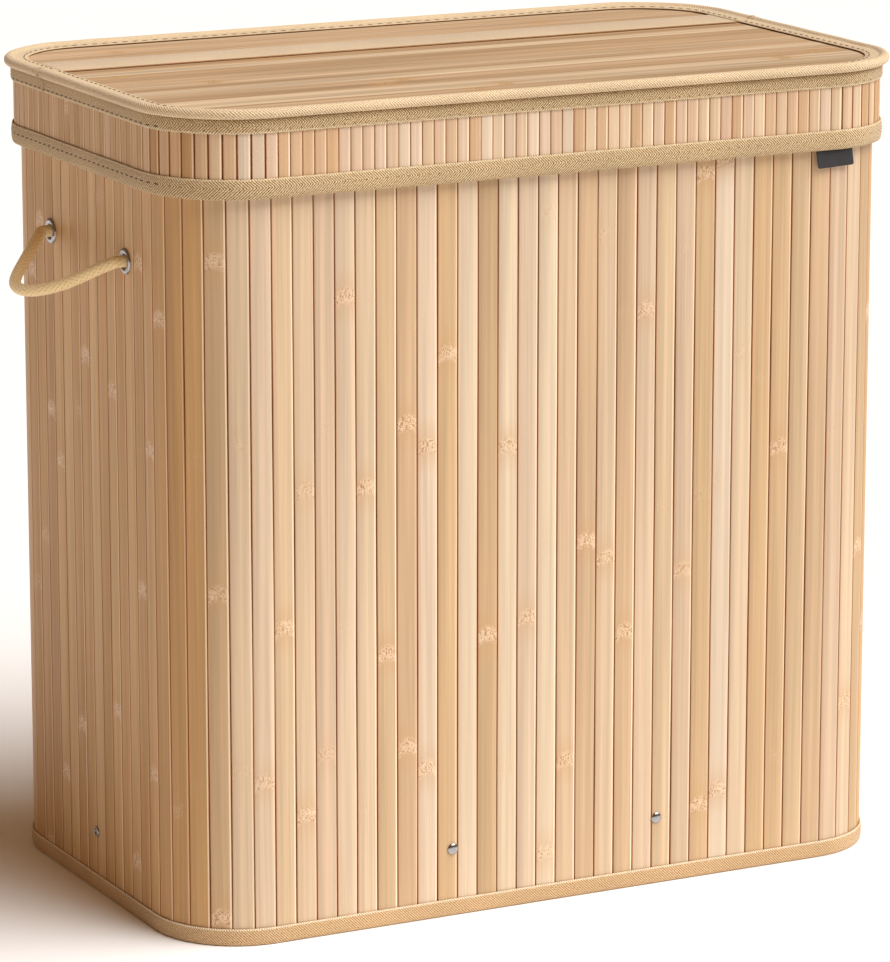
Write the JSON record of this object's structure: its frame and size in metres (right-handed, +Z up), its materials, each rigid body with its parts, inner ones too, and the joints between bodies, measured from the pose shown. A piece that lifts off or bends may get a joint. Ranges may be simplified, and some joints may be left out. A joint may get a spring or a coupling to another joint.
{
  "type": "laundry hamper",
  "caption": "Rectangular bamboo-slat laundry hamper with a lift-off box lid, a flip-up front flap, rope handles and a divided cloth liner.",
  "frame": {"origin": "middle of the footprint, on the floor", "axes": "+X to the right along the long front, +Y to the back, +Z up"},
  "size_m": [0.7018, 0.373, 0.61],
  "materials": {
    "wall_bamboo": "satin bamboo slats, planed and lacquered thin",
    "lid_bamboo": "satin narrow bamboo slats",
    "binding_tape": "woven twill tape, matt",
    "backing_cloth": "plain-woven backing cloth, matt",
    "cotton_rope": "braided cotton rope, matt",
    "nickel_steel": "bright nickel-plated steel",
    "rod_steel": "drawn steel rod, satin",
    "moulded_plastic": "injection-moulded plastic, fine texture",
    "fibreboard": "fibreboard, matt",
    "liner_cloth": "plain-woven polyester-cotton, matt",
    "hook_tape": "hook-and-loop tape, matt",
    "label_cloth": "dark woven label, satin"
  },
  "bodies": {
    "tub": {"slat_mat": "wall_bamboo", "mat_bottom_binding": "binding_tape", "mat_top_binding": "binding_tape", "mat_backing": "backing_cloth", "back_seam_tape": "backing_cloth", "rope_knot_left_back": "cotton_rope", "eyelet_left_back": "nickel_steel", "rope_knot_left_front": "cotton_rope", "eyelet_left_front": "nickel_steel", "cross_rod_left": "rod_steel", "rope_knot_right_back": "cotton_rope", "eyelet_right_back": "nickel_steel", "rope_knot_right_front": "cotton_rope", "eyelet_right_front": "nickel_steel", "cross_rod_right": "rod_steel", "long_rod": "rod_steel", "rivet_back_left": "nickel_steel", "rod_bracket_back_left": "moulded_plastic", "rivet_front_left": "nickel_steel", "rod_bracket_front_left": "moulded_plastic", "rivet_side_left": "nickel_steel", "rod_bracket_side_left": "moulded_plastic", "rivet_back_right": "nickel_steel", "rod_bracket_back_right": "moulded_plastic", "rivet_front_right": "nickel_steel", "rod_bracket_front_right": "moulded_plastic", "rivet_side_right": "nickel_steel", "rod_bracket_side_right": "moulded_plastic", "base_board": "fibreboard", "liner_bag": "liner_cloth", "liner_divider": "liner_cloth", "liner_hook_band": "hook_tape"},
    "lid": {"lid_skirt_slats": "lid_bamboo", "lid_skirt_backing": "backing_cloth", "lid_lower_binding": "binding_tape", "lid_upper_band": "binding_tape", "rear_rim_roll": "binding_tape", "rear_strip_board": "fibreboard", "rear_strip_slats": "lid_bamboo", "hinge_tape": "binding_tape", "blank_label": "label_cloth"},
    "lid_flap": {"flap_rim_roll": "binding_tape", "flap_board": "fibreboard", "flap_slats": "lid_bamboo"},
    "handle_left": {"rope_handle_left": "cotton_rope"},
    "handle_right": {"rope_handle_right": "cotton_rope"}
  },
  "joints": [
    {"name": "lid_lift", "type": "slide", "parent": "tub", "child": "lid", "axis": [0, 0, 1], "range_m": [0, 0.12]},
    {"name": "flap_hinge", "type": "hinge", "parent": "lid", "child": "lid_flap", "pos_m": [0, 0.061, 0.61], "axis": [-1, 0, 0], "range_deg": [0, 115]},
    {"name": "handle_left_swing", "type": "hinge", "parent": "tub", "child": "handle_left", "pos_m": [-0.2994, 0, 0.488], "axis": [0, 1, 0], "range_deg": [-60, 100]},
    {"name": "handle_right_swing", "type": "hinge", "parent": "tub", "child": "handle_right", "pos_m": [0.2994, 0, 0.488], "axis": [0, -1, 0], "range_deg": [-60, 100]}
  ]
}
